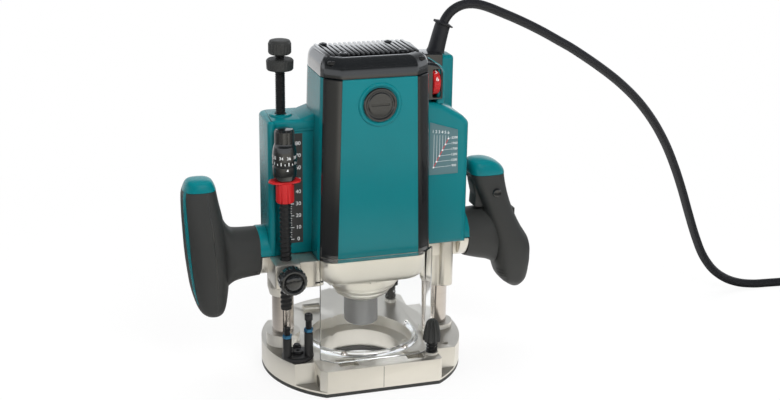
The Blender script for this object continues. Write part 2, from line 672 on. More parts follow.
hood_piece = make("dial_hood", hood, bracket)
carve(hood_piece, box((49.0, 56.2), (-40, -10), (232.5, 255.5), 1.2, 0.3, "y"))
fit(hood_piece, "motor_unit", "gloss_black")
hood_rim = slab([(54, 226), (60.4, 226), (60.4, 252), (57.4, 257.5), (54, 259)], [0.5, 0.5, 5, 3, 1],
                -28.5, 0, 1.6, 1, "y")
fit(make("hood_side", hood_rim), "motor_unit", "teal_shell")

# %% [markdown]
# The columns run up into two housings beside the motor. The left one has an open front: a ridge on its outer
# edge and a recess where the depth stop stands, under a lip. The right one is a closed, rounded case whose
# shoulder falls away from the motor. Both are outlines carried along one axis, so their long edges stay true.
# The grips' necks meet them in half discs; the other halves belong to the casting below.

# %% Column housings
COLUMN_X, NECK_R = 67.3, 20
LEFT, RIGHT = (-COLUMN_X, 0, 0), (COLUMN_X, 0, 0)


def half_disc(first, last, count, far, near):
    """A piece of a disc round the left neck's axis, between two angles."""
    corners = [(NECK_R*np.cos(a), JOINT_Z + NECK_R*np.sin(a)) for a in np.linspace(first, last, count)]
    return slab(corners, NIL, far, near, 0.8, axis="x", steps=1)


left_case = slab([(-82, -20.4), (-76.4, -20.4), (-76.4, -17.2), (-41, -17.2), (-41, 16), (-46, 21),
                  (-82, 21)],
                 [3.6, 1.6, 1.4, 0.5, 1, 1, 9], JOINT_Z, 218.4, 0.6, 2.6)
lip = slab([(-80, -20.3), (-76.8, -20.3), (-75.8, -18.65), (-41, -18.65), (-41, 15), (-80, 15)],
           [2.6, 1, 1, 0.5, 1, 9], 210.6, 218.3, 1.2, 2.6)
bridge = slab([(-64, 208), (-40, 208), (-40, 223.8), (-49, 220.6), (-55, 218.4), (-64, 217)],
              [1, 0.5, 0.5, 6, 9, 3], -18.2, 17, 2.0, 4, "y")
collar = lathe([(4.6, 214), (9.2, 214), (9.2, 219.0), (8.4, 219.7), (4.6, 219.7)], "z", LEFT, 48, loop=True)
left_stub = half_disc(0.02, np.pi - 0.02, 25, -89, -70)
fit(make("left_case", left_case, lip, bridge, collar, left_stub), "motor_unit", "teal_shell")
right_case = slab([(39, JOINT_Z), (82, JOINT_Z), (82, 210), (77, 215), (57, 227), (39, 229.6)],
                  [0.5, 1, 6, 9, 8, 1], -30, 44, 5.0, 9, "y", rows=6, steps=8)
POST_R = [3, 4, 6, 3]
post = slab(oblong((64, 87.5), (25, 46)), POST_R, 200, 252.6, 0.5, 3.0)
post_low = slab(oblong((64, 81.5), (26, 45)), POST_R, JOINT_Z, 206, 0.5, 3.0)
right_stub = moved(left_stub, flip=(-1, 1, 1))
fit(make("right_case", right_case, post, post_low, right_stub), "motor_unit", "teal_shell")

# %% [markdown]
# The casting under the motor starts with the motor's plan and ends nearly round, so its wall is a loft
# between two outlines whose corner radius grows on the way down. Under it hangs the nose that holds the
# spindle's bearing: a turning with a groove, a step and six small lugs. The bore stays open, so the collet
# nut has room to come up.

# %% Gear casting
WALL = [  # height, half width, half depth, corner radius
    (JOINT_Z, 45.2, 49.7, 13), (102, 45.4, 49.9, 13), (95, 45, 49.4, 15), (89.5, 44, 48.2, 17),
    (86.6, 42.4, 46.6, 18), (85.4, 40.6, 44.8, 18), (85, 38.5, 42.6, 18),
]
LUGS = 6
bell = [raised(outline(oblong((-a, a), (-b, b - 3)), r, 0, 14), z) for z, a, b, r in smooth_path(WALL)]
round_way = np.arctan2(bell[0][:, 1], bell[0][:, 0])
circle = np.column_stack([np.cos(round_way), np.sin(round_way)])
bell += [raised(r*circle, z) for z, r in ((85, 27.5), (91, 27.5), (91, 38), (JOINT_Z, 38))]
nose = lathe([
    (15.6, 58.3), (16.6, 57.8), (20, 59.6), (24.4, 62.6), (24.9, 64), (24.2, 65), (25.8, 65.4), (29.6, 68.2),
    (30.2, 69.6), (29.2, 70.6), (29.2, 72.2), (33, 72.8), (33, 78.6), (32.2, 79.4), (30.8, 80.2),
    (30.8, 82.6), (36.4, 83.4), (38.2, 85.3), (27, 85.3), (27, 80), (17.6, 80), (17.6, 68.4), (15.6, 68.4),
], n=112, loop=True)
lug = box((29.5, 36.0), (-2.7, 2.7), (79.4, 85.2), 1.4, 0.7)
lugs = [spun(lug, 30 + 360/LUGS*k) for k in range(LUGS)]
fit(make("gear_casting", loft(bell, loop=True), nose, *lugs), "motor_unit", "cast_alloy", "gear_housing")

# %% [markdown]
# Arms reach from the bell to the two columns, and each ends in a sleeve. The left arm also carries the block
# that the depth stop slides in, and the right one has a round pillar for a screw. Bores are cut, because a
# column or a rod really passes through there.

# %% Arms, sleeves and the depth stop's block
POLE = (-71.0, -28.5)
AT_POLE = (*POLE, 0)
LOCK_Z, SHAFT_Z = 97, 99  # heights of the clamp's and the lever's axis, and of the shaft lock
BORE_R, SLEEVE_R = 10.7, 12.6


def sleeve(at, low, taper):
    """A tube round a column, narrower at its foot by the taper."""
    inside = BORE_R - 0.04
    return lathe([(inside, low), (SLEEVE_R - taper, low), (SLEEVE_R, low + 2 + 3*taper), (SLEEVE_R, 106),
                  (inside, 106)], "z", at, 64, loop=True)


left_arm = make("left_arm", box((-82, -38), (-13, 13), (90, JOINT_Z), 3.5, 1.2))
carve(left_arm, rod(BORE_R, 80, 120, LEFT))
right_arm = make("right_arm", box((38, 82), (-13, 13), (90, JOINT_Z), 3.5, 1.2))
carve(right_arm, rod(BORE_R, 80, 120, RIGHT))
block = make("stop_block", box((-82.5, -61.5), (-41, -12.4), (86, JOINT_Z), 1.6, 1.1))
carve(block, rod(4.78, 80, 120, AT_POLE), rod(3.05, -45, -28, (POLE[0], 0, LOCK_Z), "y"))
web = make("stop_web", box((-62.5, -41), (-36.4, -12), (83.4, JOINT_Z - 0.6), 2, 1))
pillar = make("arm_pillar", slab(oblong((65, 76.6), (-17.4, -8)), 4.2, 63.6, 104.5, 1.2, 1.0))
carve(pillar, rod(3.4, 100, 106, (70.8, -13, 0)), rod(BORE_R, 60, 110, RIGHT))
sleeves = make("sleeves", sleeve(LEFT, 66.3, 1.7), sleeve(RIGHT, 62.7, 0.3))
stub_low = half_disc(-np.pi + 0.02, -0.02, 33, -88.4, -80.4)
stubs = make("lower_stubs", stub_low, moved(stub_low, flip=(-1, 1, 1)))
gusset = make("arm_gusset", slab([(40, 92), (40, 84), (46, 74.5), (52, 68), (58, 64.6), (66, 63.4), (66, 92)],
                                 [1, 4, 6, 6, 6, 2, 1], -9.5, 9.5, 3.0, axis="y"))
carve(gusset, rod(BORE_R, 60, 110, RIGHT))
lever_boss = lathe([(4.1, 11.2), (9.4, 11.2), (10, 12), (10, 19.3), (9.3, 20), (4.1, 20)], "y",
                   (-COLUMN_X, 0, LOCK_Z), 48, loop=True)
lock_boss = lathe([(6.2, 40), (9.6, 40), (9.6, 46.6), (8.8, 47.4), (6.2, 47.4)], "y", (0, 0, SHAFT_Z), 48,
                  loop=True)
bosses = make("arm_bosses", lever_boss, lock_boss)
for piece in (left_arm, right_arm, block, web, pillar, sleeves, stubs, gusset, bosses):
    fit(piece, "motor_unit", "cast_alloy")
slot_marks = [box((-48.6, -41.4), (-36.7, -36), (86.2, 87.6), 0.4, 0.2),
              box((47.5, 54.5), (-9.8, -9.2), (77.0, 78.3), 0.4, 0.2)]
fit(make("casting_slots", *slot_marks), "motor_unit", "black_plastic")

# %% [markdown]
# The base casting is right in CAD, apart from its edges: a casting has small radii where CAD has knife edges.
# A copy of the node is merged, its flat triangles dissolve into whole faces, and a bevel rounds what is left.

# %% Base casting
def softened_copy(node, name, width):
    """A copy of a CAD node with its loose triangles merged and its edges rounded."""
    mesh = frame["nodes"][node].data.copy()
    mesh.name = name
    shell = bmesh.new()
    shell.from_mesh(mesh)
    bmesh.ops.remove_doubles(shell, verts=shell.verts, dist=2e-6)
    bmesh.ops.dissolve_limit(shell, angle_limit=np.radians(1.0), verts=shell.verts, edges=shell.edges)
    shell.to_mesh(mesh)
    shell.free()
    piece = linked(name, mesh)
    edge = piece.modifiers.new("edge", "BEVEL")
    edge.width, edge.segments = width*MM, 2
    edge.limit_method, edge.angle_limit = "ANGLE", np.radians(32)
    applied(piece, edge)
    smooth(piece.data, 26)
    return piece


fit(softened_copy("base_casting", "base_body", 0.7), "base", "cast_alloy", "base_casting")
seam = box((-0.2, 0.2), (-69.03, -68), (3.6, 21.9), 0.05, 0.05)
fit(make("base_seam", seam), "base", "black_steel")

# %% [markdown]
# The dust shield is a bent clear sheet that stands on the base in front of the cutter, with a ridge round the
# opening at its foot. Its outline is closed: the outer line out, and the inner line back.

# %% Dust shield
SHEET = [(-47.4, -44.9), (-37.3, -55), (37.3, -55), (47.4, -44.9), (46, -43.5), (36.5, -53), (-36.5, -53),
         (-46, -43.5)]
RIDGE = [(43.3, 22.6), (48.6, 22.6), (48.6, 24.0), (46.8, 24.4), (46.2, 26.2), (44.4, 26.2), (43.3, 24.6)]
sheet = slab(SHEET, [0.5, 10.0, 10.0, 0.5, 0.5, 8.0, 8.0, 0.5], 22.6, 112, 0.4, 0.7, steps=10, rows=3)
a = np.radians(np.linspace(165, 375, 106))[:, None]
r, z = softened(RIDGE, 0.5, 3, closed=True).T
ridge = loft(np.stack([np.cos(a)*r, np.sin(a)*r, 0*a + z], -1))
fit(make("shield", sheet, ridge), "base", "clear_plastic", "dust_shield")
head = lathe([(NIL, 23.9), (1.5, 23.9), (3.0, 24.4), (3.0, 25.2), (2.2, 26.3), (1.1, 25.6), (1.1, 24.4),
              (NIL, 24.4)],
             n=32, reach=0.2)
heads = [moved(head, (x, -40.5, 0)) for x in (-26, 26)]
fit(make("shield_screws", *heads), "base", "steel", "dust_shield_screws")

# %% [markdown]
# Threads and knurls are turnings whose radius changes with angle and height. A thread is a wave that climbs
# one pitch in each turn, and a knurl is a wave round the axis only. Springs are wires on a helix, and the two
# in the columns stretch between the base and the motor unit.

# %% Threaded rods, their knobs and the springs
def threaded(r, low, high, pitch, depth, at, n=28, rows=7):
    """A bar of radius r - depth + depth*wave(height/pitch - angle/turn), the wave flat at top and bottom."""
    def wave(a, z):
        fade = np.clip((z - low)/pitch, 0, 1)*np.clip((high - z)/pitch, 0, 1)
        return depth*fade*np.clip(1.4*np.cos(2*np.pi*z/pitch - a), -1, 1)*((z > low) & (z < high))
    h = np.linspace(low, high, int((high - low)/pitch*rows) + 2)
    side = np.column_stack([np.full(len(h), r - depth), h])
    profile = np.concatenate([[(NIL, low - 0.01)], side, [(NIL, high + 0.01)]])
    return lathe(profile, "z", at, n, wave, reach=0)


def ribbed(profile, low, high, count, depth, axis="z", at=(0, 0, 0), n=96, sharp=1.0):
    """A turning with count ribs between two heights: radius + depth*(cos(count*angle) made steeper)."""
    def ribs(a, z):
        inside = ((z > low) & (z < high)).astype(float)
        return inside*depth*np.clip(sharp*np.cos(count*a), -1, 1)
    return lathe(profile, axis, at, n, ribs)


def curl(at, r, low, high, turns, wire):
    """A round wire on a helix: angle and height grow together, with flat end turns."""
    s = np.linspace(0, 1, int(turns*22))
    flat = np.clip((s*turns - 0.5)/(turns - 1), 0, 1)
    path = np.column_stack([r*np.cos(2*np.pi*turns*s), r*np.sin(2*np.pi*turns*s), low + (high - low)*flat])
    return tube(path + np.array(at, float), wire, 10)


SCREW_X, SCREW_Y = 44.5, 57
height_rod = threaded(4.0, 196, 275, 1.5, 0.28, LEFT, 24, 5)
fit(make("height_screw", height_rod, rod(3.6, 8, 197, LEFT, n=24)), "base", "black_steel", "height_rod")
knob = ribbed([(4.02, 267.5), (7.6, 267.5), (8.9, 268.6), (8.9, 276.6), (7.9, 278.6), (5.5, 279), (NIL, 279)],
              268.9, 276.4, 22, 0.22, at=LEFT)
fit(make("height_grip", knob), "base", "black_plastic", "height_knob")
nut = ribbed([(4.1, 256.6), (9.4, 256.6), (9.5, 255.3), (9.8, 255), (10.6, 256), (10.6, 263), (9.6, 264),
              (4.1, 263.8)], 256.9, 262.9, 26, 0.28, at=LEFT)
fit(make("stop_nut", nut), "lift_nut", "black_plastic", "height_nut")
screw_grip = ribbed([(2.9, 17), (2.9, 33.4), (5.4, 33.5), (6.5, 34.6), (6.6, 36.4), (6.1, 41), (5.0, 46.5),
                     (3.8, 51), (2.6, 53), (NIL, 53.3)], 34.2, 51.8, 9, 0.9, at=(SCREW_X, -SCREW_Y, 0),
                     sharp=1.4)
fit(make("front_grip_screw", screw_grip), "front_screw", "black_plastic", "front_rod_screw")
rear_grip = moved(screw_grip, (0, 2*SCREW_Y, 0))
fit(make("rear_grip_screw", rear_grip), "rear_screw", "black_plastic", "rear_rod_screw")
screw_springs = [curl((SCREW_X, y, 0), 4.2, 24.8, 32.7, 4, 0.6) for y in (-SCREW_Y, SCREW_Y)]
fit(make("screw_springs", *screw_springs), "base", "black_steel", "rod_screw_springs")
for side, x, top in (("left", -COLUMN_X, 212.2), ("right", COLUMN_X, 206.2)):
    spring = make(side + "_spring", curl((x, 0, 0), 5.5, 29.9, top, 22, 0.5))
    fit(spring, None, "steel", side + "_column_spring")
    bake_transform(spring)

# %% [markdown]
# The depth stop is a coarse screw. It carries a red pointer that slides along the scale, and a dial whose
# fluted top turns it. White marks on the dial are thin patches that lie just above its surface.

# %% Depth stop
def slits(a, z):
    """Eight narrow slits in the pointer's sleeve."""
    return -1.1*np.exp(-((np.mod(a*180/np.pi + 13, 45) - 22.5)/3.4)**2)*((z > 155.2) & (z < 171))


def flutes(a, z):
    """Twelve grooves round the dial's top."""
    return -0.9*np.clip(2.2*np.cos(12*a) - 1.0, 0, 1)*((z > 204.2) & (z < 214.4))


def on_drum(shape, angle, r, z):
    """A flat mark laid on the dial: across becomes an angle, up stays up."""
    flat, faces = shape
    a = np.radians(angle) + flat[:, 0]/r
    return np.column_stack([POLE[0] + r*np.cos(a), POLE[1] + r*np.sin(a), z + flat[:, 1]]), faces


def patch(w, h, at=(0, 0)):
    """A flat mark of the given width and height."""
    x, y = at
    return raised(np.array(oblong((x - w/2, x + w/2), (y - h/2, y + h/2))), 0), [[0, 1, 2, 3]]


pole_piece = make("depth_screw", threaded(4.7, 64, 203, 4.0, 0.32, AT_POLE, 32, 9))
fit(pole_piece, "pole", "black_steel", "stop_pole")
TONGUE = [(-13.4, 0), (-11, -5.2), (-6, -6.5), (6, -6.5), (11, -5.2), (13.4, 0), (11, 5.2), (6, 6.5),
          (-6, 6.5), (-11, 5.2)]
flange = slab(TONGUE, 2.2, 171.5, 173.2, 0.5, at=AT_POLE, rows=2)
pointer = lathe([(4.75, 155), (6.6, 155), (7.2, 155.8), (7.2, 171.6), (4.75, 171.6)], "z", AT_POLE, 160,
                slits, loop=True)
fit(make("scale_pointer", flange, pointer), "pole", "red_plastic", "depth_pointer")
dial = lathe([
    (4.78, 173.7), (7.6, 173.7), (8.7, 174.6), (9.4, 178), (9.6, 185.4), (9.0, 185.8), (9.0, 186.4),
    (9.7, 186.8),
    (9.7, 191), (9.4, 197), (8.8, 201.2), (8.2, 202.8), (8.0, 204), (7.9, 213.4), (7.0, 214.9), (NIL, 215.1),
    (NIL, 203.5), (4.78, 203.5),
], "z", AT_POLE, 144, flutes, reach=0.4)
fit(make("stop_dial", dial), "dial", "gloss_black", "depth_dial")
FACING = 241  # the angle of the dial's first mark
ticks = [patch(0.55, h, (0, h/2)) for h in (2.6, 1.6)]
marks = [on_drum(ticks[k % 2], FACING + 18*k, 9.78, 187.4) for k in range(20)]
for k, text in enumerate(("34", "36", "38", "0", "2", "4", "6", "8", "30", "32")):
    marks.append(on_drum(digits(text, 3.5), FACING + 36*k, 9.72, 193.2))
arrow = np.array([(-0.9, -0.9, 0), (0.9, -0.9, 0), (0, 1.0, 0)]), [[0, 1, 2]]
fit(make("dial_marks", *marks), "dial", "black_plastic", look="white_print")
fit(make("dial_arrow", on_drum(arrow, FACING + 30, 9.7, 183.8)), "dial", "black_plastic", look="white_print")

# %% [markdown]
# The clamp knob has a scalloped rim, a ring groove and a polished dome. It is one turning about a level axis,
# with the scallops only on the rim.

# %% Clamp knob
clamp = ribbed([
    (2.9, -33.5), (2.9, -45.6), (6.2, -45.8), (9.8, -46.4), (11.1, -47.8), (11.3, -54.8), (10.6, -56.6),
    (9.3, -57.4), (8.0, -57.0), (7.5, -55.4), (7.0, -55.4), (6.5, -56.8), (4.6, -57.7), (2.4, -58.1),
    (NIL, -58.2),
], -56.2, -46.8, 22, 0.22, "y", (POLE[0], 0, LOCK_Z), 176)
fit(make("clamp_grip", clamp), "pole_clamp", "gloss_black", "pole_clamp_knob")

# %% [markdown]
# The turret turns under the depth stop and offers three heights: two adjustable bolts with blue lock nuts,
# and one low post. Hexagons and posts are small, so plain slabs and turnings with soft edges are enough.

# %% Stop turret
TURRET = (-63.34, -34.93, 0)
POST_TOPS, BOLT_TOPS = (42.5, 47.5, 29), (51.7, 57.5, 30)
stops = [np.array(TURRET) + 10*np.array([np.cos(t), np.sin(t), 0]) for t in np.radians([200, 320, 80])]
disc = ribbed([(3.05, 22.9), (12.2, 22.9), (13, 23.6), (13, 26.0), (12.2, 26.8), (5.2, 26.9), (3.05, 26.9)],
              23.7, 25.9, 40, 0.12, at=TURRET, n=160)
posts = [lathe([(2.62, 25), (3.7, 25), (3.6, 27), (3.6, top - 0.7), (3.1, top), (2.62, top)], "z", at, 36,
               loop=True, reach=0.3) for at, top in zip(stops, POST_TOPS)]
fit(make("turret", disc, *posts), "turret", "black_steel", "stop_turret")
pin = lathe([(NIL, 15), (3, 15), (3, 26.8), (4.7, 26.9), (4.7, 28.2), (4.1, 28.8), (1.6, 28.8), (1.4, 27.8),
             (NIL, 27.8)], "z", TURRET, 40, reach=0.3)
fit(make("turret_pin", pin), "base", "steel", "turret_pivot", look="black_steel")
bolts = [threaded(2.6, 25.2, top, 1.0, 0.2, at, 20, 5) for at, top in zip(stops, BOLT_TOPS)]
cap = ribbed([(2.4, 57), (3.2, 57.6), (3.2, 62.3), (2.6, 63), (1.0, 62.9), (0.9, 61.6)], 57.9, 62.2, 12, 0.16,
             at=stops[1], n=72)
fit(make("stop_screws", *bolts, cap), "turret", "black_steel", "stop_bolts")
hexagon = [(4*np.cos(t), 4*np.sin(t)) for t in np.arange(6)*np.pi/3]
nuts = [slab(hexagon, 0.3, z, z + 3, 0.35, at=at, rows=2, steps=2) for at, z in zip(stops[:2], POST_TOPS)]
fit(make("lock_nuts", *nuts), "turret", "blue_steel", "stop_lock_nuts")

# %% [markdown]
# The collet nut is a plain turned sleeve with small chamfers, and the brush cap is a screwed cover with a
# ring, a shallow well and a slot for a blade. The slot is cut once, and the rear cap is the front one
# mirrored.

# %% Collet nut and brush caps
collet = lathe([(7, 36), (12.6, 36), (14.2, 37.4), (14.2, 58.6), (13.4, 59.5), (12.1, 59.5), (12.1, 39.2),
                (7, 39.2)],
               n=96, loop=True, reach=0.3)
fit(make("collet_sleeve", collet), "rotor", "grey_steel", "collet_nut")
cap = lathe([(NIL, -47), (13.6, -47), (13.6, -51.0), (12.9, -51.7), (11.6, -51.7), (10.9, -50.9),
             (9.9, -50.9), (9.3, -51.5), (3, -51.6), (NIL, -51.6)], "y", (0, 0, CAP_Z), 80, reach=0.35)
cap = carved(cap, box((-7.4, 7.4), (-53, -50.7), (CAP_Z - 0.8, CAP_Z + 0.8), 0.5, 0.2))
fit(make("brush_covers", cap, moved(cap, flip=(1, -1, 1))), "motor_unit", "gloss_black", "brush_caps")

# %% [markdown]
# A grip is a stack of ovals: at each height it has an inner edge, an outer edge and a depth, read off the
# photograph, and the oval's power says how square it is. The neck is another stack, laid on its side, that
# flares into it. The teal cap is the top of the same stack, and the teal stripe is a narrow patch of the same
# surface set a little out.

# %% Grips
LEFT_ROWS = np.array([  # height, two edges, half depth, power
    (52.8, -126.8, -123.6, 2, 2.2), (53.2, -129.4, -121.4, 5.5, 2.2), (54.6, -132.8, -118.9, 9.5, 2.2),
    (57.5, -135.9, -116.9, 13, 2.3), (62.5, -138.7, -115.4, 16, 2.3), (70, -141.2, -114.2, 18, 2.4),
    (79.4, -143.5, -113.2, 19.6, 2.5), (90, -145.0, -113.0, 21, 2.5), (101.3, -146.2, -113.3, 21.5, 2.5),
    (112, -147.0, -114.0, 21.3, 2.5), (124.6, -147.6, -115.0, 20.6, 2.5), (136.3, -148.1, -116.3, 19.2, 2.6),
    (142.9, -148.3, -117.6, 18, 2.6), (151.2, -148.4, -119.4, 16, 2.7), (158.3, -148.2, -120.7, 14.6, 2.8),
    (162.5, -147.4, -121.4, 13.6, 2.8), (166.2, -146.1, -122.5, 12.4, 2.8),
    (168.9, -144.6, -124.0, 10.8, 2.8),
    (170.3, -142.6, -126.6, 8.6, 2.8), (170.9, -139.6, -130.6, 5, 2.8), (171.0, -137, -133.5, 2, 2.6)])
RIGHT_ROWS = np.array([
    (52, 136.3, 139.8, 3, 2.2), (53, 133.8, 141.8, 7, 2.2), (55.5, 130, 144.2, 11, 2.2),
    (59.8, 125, 146.9, 15, 2.3),
    (65.4, 121, 148.4, 17, 2.4), (75.7, 117.8, 149.4, 18.8, 2.5), (81, 117, 149.5, 19.5, 2.5),
    (90, 115.3, 148.9, 20.5, 2.6), (98, 113.5, 146.6, 21, 2.6), (104, 112, 143, 21, 2.7),
    (110, 110.5, 139, 20.8, 2.8),
    (118, 108, 134.6, 20.2, 2.9), (127.6, 104.8, 130.2, 19.2, 3.0), (138.5, 100.6, 126.4, 17.6, 3.2),
    (148.8, 96, 123.9, 16.2, 3.4), (155.6, 93.4, 122.9, 15.2, 3.4), (160.5, 92.4, 122.3, 14.4, 3.4),
    (164.5, 92.2, 119.6, 13.2, 3.2), (167.6, 92.8, 115, 11.4, 3.0), (169.4, 94.4, 109.6, 8.6, 2.8),
    (170.3, 97, 104.4, 4, 2.6)])
ALL_ROUND = np.arange(72)[None, :]*2*np.pi/72


def rows_at(rows, z):
    """Rows between the given ones, at the heights z."""
    return np.array([np.interp(z, rows[:, 0], column) for column in rows.T]).T


def rows_between(rows, low, high, step=1.2):
    """Smooth rows close together from low to high."""
    fine = smooth_path(rows, step)
    fine = fine[(fine[:, 0] > low + 0.05) & (fine[:, 0] < high - 0.05)]
    return np.concatenate([rows_at(rows, [low]), fine, rows_at(rows, [high])])


def ovals(rows, turn, out=0.0):
    """Points of |x/a|^p + |y/b|^p = 1 round each row's middle at the given angles, set out by a distance."""
    z, first, last, depth, power = (rows[:, k:k + 1] for k in range(5))
    c, s = np.cos(turn), np.sin(turn)
    x = (first + last)/2 + (abs(last - first)/2 + out)*np.sign(c)*np.abs(c)**(2/power)
    y = (depth + out)*np.sign(s)*np.abs(s)**(2/power)
    return np.stack([x, y, z + 0*x], -1)


def handle(rows, low, high):
    """The part of a grip between two heights."""
    return loft(ovals(rows_between(rows, low, high), ALL_ROUND))


def handle_cap(rows, low, high):
    """A grip's top, which stands a little proud."""
    return loft(ovals(rows_between(rows, low, high, 0.6), ALL_ROUND, 0.15))


def neck(rows):
    """A loft along X through ovals given by place, middle height, half height and half depth."""
    fine = smooth_path(rows, 1.5)
    u, v = oval(fine[:, 3], fine[:, 2], np.full(len(fine), 2.3), 56)
    return loft(np.stack([fine[:, :1] + 0*u, u, fine[:, 1:2] + v], -1))


def inlay(rows, low, high, first, last, out, shares=(0, 1)):
    """A thin patch of a grip's surface between two angles, given at shares of its height; 1 mm thick."""
    z = rows_between(rows, low, high)[:, 0]
    share = (z - low)/(high - low)
    a, b = (np.radians(np.interp(share, shares, angles))[:, None] for angles in (first, last))
    turn = a + np.linspace(0, 1, 13)[None, :]*(b - a)
    fine = rows_at(rows, z)
    return loft(np.concatenate([ovals(fine, turn, out), ovals(fine, turn, out - 1.0)[:, ::-1]], 1))


left_neck = neck([(-88.7, 105.8, 19.7, 19.2), (-100, 105.2, 20.4, 19.4), (-106, 104.8, 21.3, 19.1),
                  (-110, 104.6, 22.8, 18.6), (-114, 105, 27, 17.2), (-118, 106, 34, 14)])
left_body = make("left_handle", handle(LEFT_ROWS, 52.8, 162.2), left_neck)
fit(left_body, "motor_unit", "black_plastic", "left_grip")
left_cap = make("left_handle_cap", handle_cap(LEFT_ROWS, 162.5, 171.0))
fit(left_cap, "motor_unit", "teal_shell", "left_grip_cap")
right_neck = neck([(88.7, 105.5, 19.9, 19.3), (94, 104.8, 21.0, 19), (102, 104, 22.4, 18.6),
                   (110, 103.5, 24, 18), (117, 103, 27, 16)])
right_body = make("right_handle", handle(RIGHT_ROWS, 52, 157.6))
carve(right_body, box((85, 120.6), (-7.9, 7.9), (127.2, 155), 1.5, 0.4))
fit(right_body, "motor_unit", "black_plastic", "right_grip")
fit(make("right_neck", right_neck), "motor_unit", "black_plastic")
right_cap = make("right_handle_cap", handle_cap(RIGHT_ROWS, 157.9, 170.3))
fit(right_cap, "motor_unit", "teal_shell", "right_grip_cap")
stripe = inlay(LEFT_ROWS, 66, 162.4, [208, 203, 198, 196], [210, 213, 215, 214], 0.3, [0, 0.1, 0.6, 1])
fit(make("left_stripe", stripe, moved(stripe, flip=(1, -1, 1))), "motor_unit", "teal_shell")
seam = inlay(LEFT_ROWS, 56, 160, [280, 281], [281.2, 282.2], 0.12)
fit(make("left_seam", seam), "motor_unit", "gloss_black")
ribs = [inlay(RIGHT_ROWS, z, z + 1.2, [196, 196], [236, 236], 0.5) for z in np.arange(57.5, 72, 3.0)]
fit(make("right_ribs", *ribs), "motor_unit", "black_plastic")

# %% [markdown]
# The controls: a trigger with a finger hollow, its lock button, the plunge lever at the back, the shaft
# lock's button and the speed wheel in its hood. Each one rides on its own body, so it can be pressed or
# turned.

# %% Trigger, buttons, lever and speed wheel
WHEEL = (0, -22, 244)
trigger = slab([(97, 129), (100, 127.6), (115, 127.6), (115, 154.4), (95.6, 154.4), (95.0, 150), (97.6, 139)],
               [1.6, 1.5, 0.5, 0.5, 1.2, 6, 9], -7.5, 7.5, 1.6, axis="y")
fit(make("trigger_blade", trigger), "trigger", "black_plastic", "trigger")
button = lathe([(NIL, -12), (3.9, -12), (3.9, -17.8), (3.2, -18.7), (NIL, -18.9)], "y", (113, 0, 143), 36)
fit(make("lock_pin", button), "lock_on", "gloss_black", "lock_button")
hub = lathe([(NIL, 11.3), (3.85, 11.3), (3.85, 20.2), (6.6, 20.4), (7.7, 21.4), (7.7, 27.4), (6.6, 28.6),
             (2.4, 29), (2.2, 27.6), (NIL, 27.6)], "y", (-COLUMN_X, 0, LOCK_Z), 56)
arm = slab([(-6.6, 0), (6.6, 0), (3.9, 40.5), (-3.9, 40.5)], [1, 1, 3.6, 3.6], 23.6, 28.4, 1.3, axis="y",
           at=(-COLUMN_X, 0, LOCK_Z))
fit(make("plunge_lever", hub, arm), "plunge_lock", "black_plastic", "lock_lever")
press = lathe([(NIL, 42), (5.95, 42), (5.95, 51.6), (5.0, 52.8), (NIL, 53)], "y", (0, 0, SHAFT_Z), 48)
fit(make("shaft_button", press), "spindle_lock", "black_plastic", "shaft_lock")
wheel = ribbed([(2, 48.6), (2, 49.4), (9.6, 49.4), (10.8, 50.2), (10.8, 55), (9.6, 55.8), (2, 55.8), (2, 57)],
               50.3, 54.9, 30, 0.25, "x", WHEEL, 120)
fit(make("speed_ring", wheel), "speed_wheel", "red_plastic", "speed_dial")
numbers = []
for k, text in enumerate("6543210"):
    lift = np.radians(20 + 33*k)
    outward, up = np.array([0, -np.cos(lift), np.sin(lift)]), np.array([0, np.sin(lift), np.cos(lift)])
    flat, faces = digits(text, 5.0)
    start = np.array(WHEEL) + [52.6, 0, 0] + 11.12*outward
    numbers.append((start + flat[:, :1]*np.array([1.0, 0, 0]) + flat[:, 1:2]*up, faces))
fit(make("speed_numbers", *numbers), "speed_wheel", "red_plastic", look="white_print")

# %% [markdown]
# The speed chart and the depth scale are printed plates. Their lines and numbers are flat marks a few
# hundredths of a millimetre in front of the plate, so they stay crisp at any size.

# %% Prints on the plates
def on_plate(shape, y, x=0, z=0):
    """A flat mark stood up on a plate that faces the front."""
    flat, faces = shape
    return np.column_stack([x + flat[:, 0], np.full(len(flat), y), z + flat[:, 1]]), faces


def stroke(a, b, w):
    """A straight mark of width w from a to b."""
    a, b = np.array(a, float), np.array(b, float)
    side = unit(b - a)[::-1]*[-1, 1]*w/2
    return raised(np.array([a + side, b + side, b - side, a - side]), 0), [[0, 1, 2, 3]]


CHART_Y, SCALE_Y, SCALE_LOW = -30.68, -17.88, 119
SPEEDS = ("900", "1200", "1500", "1700", "1900", "2200")
steps = [(51.5 + 2.44*k, 174.2 + 4.7*k) for k in range(len(SPEEDS))]
chart = [on_plate(digits(str(k + 1), 3.4), CHART_Y, 50.6 + 2.6*k, 204.4 - 0.35*k) for k in range(len(SPEEDS))]
chart += [on_plate(stroke((x, z), (x, 201.8 - 0.35*k), 0.2), CHART_Y) for k, (x, z) in enumerate(steps)]
chart += [on_plate(stroke((x, z), (66.2, z + 0.5), 0.2), CHART_Y) for x, z in steps]
chart += [on_plate(patch(1.2, 1.2, at), CHART_Y - 0.06) for at in steps]
chart += [on_plate(digits(text, 2.7), CHART_Y, 68.9, z + 0.5) for text, (x, z) in zip(SPEEDS, steps)]
fit(make("chart_print", *chart), "motor_unit", "label_grey", look="white_print")
red = [on_plate(stroke(a, b, 0.55), CHART_Y - 0.03) for a, b in zip(steps[:-1], steps[1:])]
fit(make("chart_curve", *red), "motor_unit", "label_grey", look="red_print")
ticks = [patch(w, 0.42, (w/2, 0)) for w in (4.2, 2.4, 2.4, 2.4, 2.4)]
